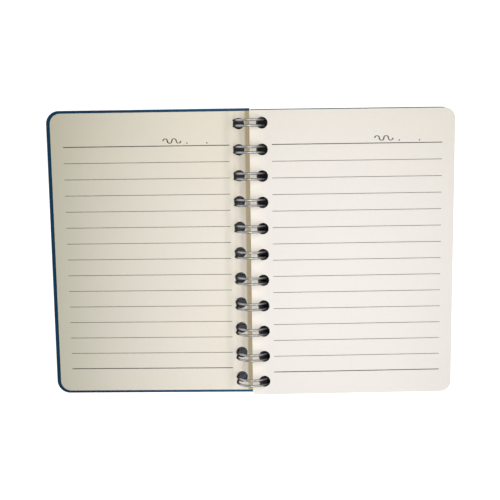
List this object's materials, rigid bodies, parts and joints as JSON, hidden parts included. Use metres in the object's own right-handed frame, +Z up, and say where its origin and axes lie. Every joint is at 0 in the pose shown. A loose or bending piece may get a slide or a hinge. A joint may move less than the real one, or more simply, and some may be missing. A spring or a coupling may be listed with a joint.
{
  "type": "open spiral notebook",
  "caption": "Pocket notebook on a twin-loop wire, lying open, with two board covers and two blocks of ruled leaves that turn about the wire.",
  "frame": {"origin": "on the table, under the middle of the binding wire", "axes": "+X across the right page, +Y along the spine towards the head of the pages, +Z up"},
  "size_m": [0.2006, 0.1426, 0.0168],
  "materials": {
    "cover_board": "blue board with a fine grain",
    "left_paper": "uncoated cream paper",
    "right_paper": "uncoated cream paper",
    "ink": "grey-brown printed line",
    "wire": "nickel-coloured drawn wire"
  },
  "bodies": {
    "binding": {"binding_wire": "wire"},
    "front_cover": {"front_cover": "cover_board"},
    "left_pages": {"left_pages": "left_paper", "left_print": "ink"},
    "back_cover": {"back_cover": "cover_board"},
    "right_pages": {"right_pages": "right_paper", "right_print": "ink"}
  },
  "joints": [
    {"name": "front_cover_hinge", "type": "hinge", "parent": "binding", "child": "front_cover", "pos_m": [0, 0, 0.0084], "axis": [0, 1, 0], "range_deg": [0, 182.62]},
    {"name": "left_pages_turn", "type": "hinge", "parent": "front_cover", "child": "left_pages", "pos_m": [0, 0, 0.0084], "axis": [0, 1, 0], "range_deg": [0, 177.38]},
    {"name": "back_cover_hinge", "type": "hinge", "parent": "binding", "child": "back_cover", "pos_m": [0, 0, 0.0084], "axis": [0, -1, 0], "range_deg": [0, 182.62]},
    {"name": "right_pages_turn", "type": "hinge", "parent": "back_cover", "child": "right_pages", "pos_m": [0, 0, 0.0084], "axis": [0, -1, 0], "range_deg": [0, 177.38]}
  ]
}
